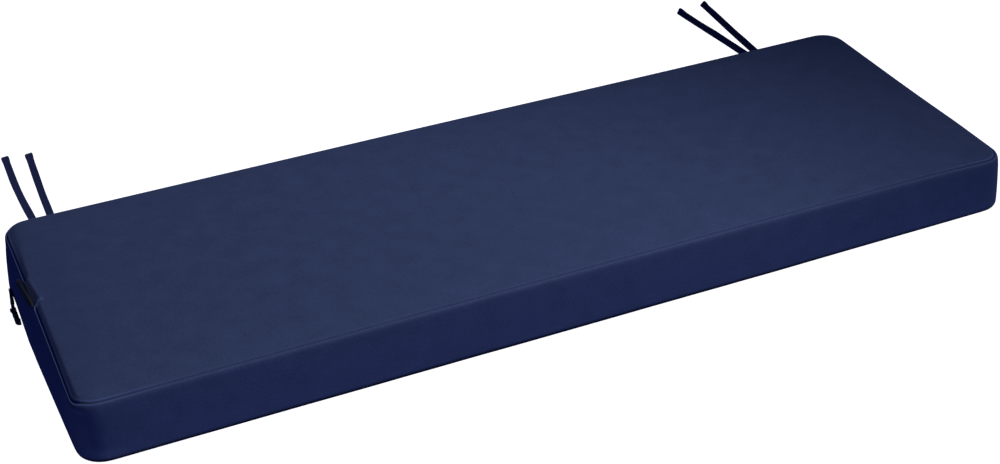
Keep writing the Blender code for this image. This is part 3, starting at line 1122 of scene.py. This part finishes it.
CAMERA_AXES = (
    # right, up and back of the camera
    (0.9154920, -0.4007982, -0.0351441),
    (0.2384447, 0.4701359, 0.8497743),
    (-0.3240656, -0.7863416, 0.5259738),
)
SOFTBOXES = (
    # name     place              aimed at            size        power  colour
    ("table",  (0.0, 0.0, 3.0),   (0.0, 0.0, 0.0),    (4.0, 4.0), 200.0, (1.0, 1.0, 1.0)),
    ("front",  (-0.07, -0.27, 0.006), (-0.07, -0.27, 1.0), (1.38, 0.11), 0.18,
     (0.7, 0.8, 1.0)),
    ("corner", (-0.66, -0.25, 0.006), (-0.66, -0.25, 1.0), (0.2, 0.11), 0.012,
     (0.7, 0.8, 1.0)),
)
KEY_PLACE = (1.7, -1.2, 3.2)
KEY_AIM = (-0.55, -0.35, 0.0)
KEY_CONE = 36.0              # degrees across, fading over its outer part
KEY_BLEND = 0.5
KEY_POWER = 520.0
KEY_SOFTNESS = 0.4           # radius


def aim(made, target):
    made.rotation_mode = "QUATERNION"
    toward = Vector(target) - made.location
    made.rotation_quaternion = toward.to_track_quat("-Z", "Y")


def add_light(lamp, place, target):
    stand = bpy.data.objects.new(lamp.name, lamp)
    bpy.context.scene.collection.objects.link(stand)
    stand.location = place
    aim(stand, target)
    return stand


def light_only(stand, floor, state):
    """Keeps a light off the floor, or on the floor alone and without shadows."""
    group = bpy.data.collections.new(stand.name + "_receivers")
    group.objects.link(floor)
    group.collection_objects[0].light_linking.link_state = state
    stand.light_linking.receiver_collection = group
    if state == "INCLUDE":
        stand.light_linking.blocker_collection = group


def table_material(settings):
    """Pale to the eye, but throws only a dim blue light back on the cushion."""
    made = bpy.data.materials.new("studio_table")
    made.use_nodes = True
    tree = made.node_tree
    shader = tree.nodes["Principled BSDF"]
    shader.inputs["Roughness"].default_value = 1.0
    shader.inputs["Specular IOR Level"].default_value = 0.0
    shader.inputs["Base Color"].default_value = tuple(settings.floor_colour) + (1.0,)
    dim = tree.nodes.new("ShaderNodeBsdfDiffuse")
    dim.inputs["Color"].default_value = tuple(settings.bounce_colour) + (1.0,)
    path = tree.nodes.new("ShaderNodeLightPath")
    choice = tree.nodes.new("ShaderNodeMixShader")
    link_chain(tree, path.outputs["Is Camera Ray"], choice.inputs[0],
               dim.outputs[0], choice.inputs[1], shader.outputs[0], choice.inputs[2],
               choice.outputs[0], tree.nodes["Material Output"].inputs["Surface"])
    return made


def build_stage():
    settings = bpy.context.scene.bench_cushion.stage
    scene = bpy.context.scene
    camera = bpy.data.cameras.new("photo_camera")
    camera.lens = settings.lens
    camera.sensor_width = 36.0
    camera.sensor_fit = "HORIZONTAL"
    camera.clip_start = 0.05
    camera.clip_end = 60.0
    holder = bpy.data.objects.new("photo_camera", camera)
    scene.collection.objects.link(holder)
    turned = Matrix(CAMERA_AXES).transposed().to_4x4()
    holder.matrix_world = Matrix.Translation(settings.place) @ turned
    scene.camera = holder

    bm = bmesh.new()
    bmesh.ops.create_grid(bm, x_segments=1, y_segments=1, size=14.0)
    mesh = bpy.data.meshes.new("studio_floor")
    bm.to_mesh(mesh)
    bm.free()
    floor = bpy.data.objects.new("studio_floor", mesh)
    scene.collection.objects.link(floor)
    mesh.materials.append(table_material(settings))

    for name, place, target, size, power, colour in SOFTBOXES:
        lamp = bpy.data.lights.new(name + "_softbox", "AREA")
        lamp.shape = "RECTANGLE"
        lamp.size, lamp.size_y = size
        lamp.energy = power
        lamp.color = colour
        stand = add_light(lamp, place, target)
        stand.visible_camera = False
        light_only(stand, floor, "INCLUDE" if name == "table" else "EXCLUDE")
    lamp = bpy.data.lights.new("key_spot", "SPOT")
    lamp.spot_size = math.radians(KEY_CONE)
    lamp.spot_blend = KEY_BLEND
    lamp.energy = KEY_POWER
    lamp.shadow_soft_size = KEY_SOFTNESS
    light_only(add_light(lamp, KEY_PLACE, KEY_AIM), floor, "EXCLUDE")

    world = bpy.data.worlds.new("studio")
    world.use_nodes = True
    sky = world.node_tree.nodes["Background"]
    sky.inputs["Color"].default_value = (0.25, 0.35, 1.0, 1.0)
    sky.inputs["Strength"].default_value = 0.12
    scene.world = world
    scene.view_settings.view_transform = "Standard"


# ---------------------------------------------------------------- operators

class CUSHION_OT_stage(bpy.types.Operator):
    """Makes the camera, floor and softboxes"""

    bl_idname = "cushion.stage"
    bl_label = "Stage"

    def execute(self, context):
        build_stage()
        return {"FINISHED"}


class CUSHION_OT_ties(bpy.types.Operator):
    """Makes the four folded tie tails"""

    bl_idname = "cushion.ties"
    bl_label = "Tie tails"

    def execute(self, context):
        build_ties()
        return {"FINISHED"}


class CUSHION_OT_cover(bpy.types.Operator):
    """Makes the filled cover with its seams and dent"""

    bl_idname = "cushion.cover"
    bl_label = "Cover"

    def execute(self, context):
        build_cover()
        return {"FINISHED"}


class CUSHION_OT_webbing(bpy.types.Operator):
    """Makes the carry handle and the two lengths of strap"""

    bl_idname = "cushion.webbing"
    bl_label = "Handle and strap"

    def execute(self, context):
        build_handle()
        build_straps()
        return {"FINISHED"}


class CUSHION_OT_buckle(bpy.types.Operator):
    """Makes the closed side-release buckle"""

    bl_idname = "cushion.buckle"
    bl_label = "Buckle"

    def execute(self, context):
        build_buckle()
        return {"FINISHED"}


class CUSHION_PT_pieces(bpy.types.Panel):
    """Lists the cushion's pieces and settings"""

    bl_label = "Bench Cushion"
    bl_idname = "CUSHION_PT_pieces"
    bl_space_type = "VIEW_3D"
    bl_region_type = "UI"
    bl_category = "Cushion"

    def draw(self, context):
        settings = context.scene.bench_cushion
        for operator, part in PANEL_ROWS:
            box = self.layout.box()
            box.operator(operator.bl_idname)
            group = getattr(settings, part)
            for name in group.__annotations__:
                box.prop(group, name)


PANEL_ROWS = (
    (CUSHION_OT_stage, "stage"),
    (CUSHION_OT_ties, "ties"),
    (CUSHION_OT_cover, "cover"),
    (CUSHION_OT_webbing, "webbing"),
    (CUSHION_OT_buckle, "buckle"),
)
CLASSES = (CoverSettings, TieSettings, WebbingSettings, BuckleSettings, StageSettings,
           CushionSettings, CUSHION_OT_stage, CUSHION_OT_ties, CUSHION_OT_cover,
           CUSHION_OT_webbing, CUSHION_OT_buckle, CUSHION_PT_pieces)


def register():
    for item in CLASSES:
        bpy.utils.register_class(item)
    bpy.types.Scene.bench_cushion = bpy.props.PointerProperty(type=CushionSettings)


def unregister():
    del bpy.types.Scene.bench_cushion
    for item in reversed(CLASSES):
        bpy.utils.unregister_class(item)


def main():
    register()
    bpy.ops.cushion.stage()
    bpy.ops.cushion.ties()
    bpy.ops.cushion.cover()
    bpy.ops.cushion.webbing()
    bpy.ops.cushion.buckle()


if __name__ == "__main__":
    main()
